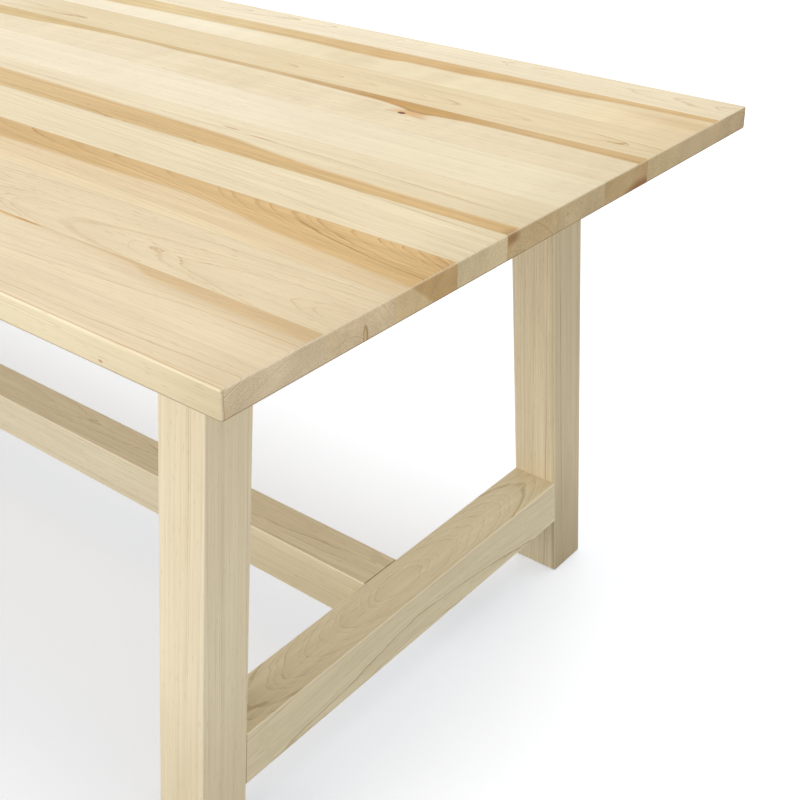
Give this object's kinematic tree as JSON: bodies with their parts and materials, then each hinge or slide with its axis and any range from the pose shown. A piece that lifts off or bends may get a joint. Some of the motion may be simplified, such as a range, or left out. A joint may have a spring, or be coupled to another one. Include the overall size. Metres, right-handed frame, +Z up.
{
  "type": "farmhouse table",
  "caption": "Farmhouse dining table: an edge-glued wooden top on two splayed end frames, each with a low cross-beam, tied by a long stretcher.",
  "frame": {"origin": "on the floor, under the middle of the top", "axes": "+X along the table towards the right end, -Y towards the near long side, +Z up"},
  "size_m": [2.134, 0.997, 0.762],
  "materials": {
    "top_maple": "pale maple with honey-brown heartwood stripes along the boards, clear satin finish",
    "frame_maple": "pale maple with fine straight grain, clear satin finish",
    "zinc_steel": "zinc-plated fasteners"
  },
  "bodies": {
    "root": {"top_board_01": "top_maple", "top_board_02": "top_maple", "top_board_03": "top_maple", "top_board_04": "top_maple", "top_board_05": "top_maple", "top_board_06": "top_maple", "top_board_07": "top_maple", "top_board_08": "top_maple", "top_board_09": "top_maple", "top_board_10": "top_maple", "right_near_leg": "frame_maple", "right_far_leg": "frame_maple", "right_cross_beam": "frame_maple", "right_top_rail": "frame_maple", "left_near_leg": "frame_maple", "left_far_leg": "frame_maple", "left_cross_beam": "frame_maple", "left_top_rail": "frame_maple", "long_stretcher": "frame_maple", "top_bolts": "zinc_steel", "top_bolt_washers": "zinc_steel", "top_inserts": "zinc_steel", "stretcher_bolts": "zinc_steel", "stretcher_washers": "zinc_steel", "stretcher_nuts": "zinc_steel"}
  },
  "joints": []
}
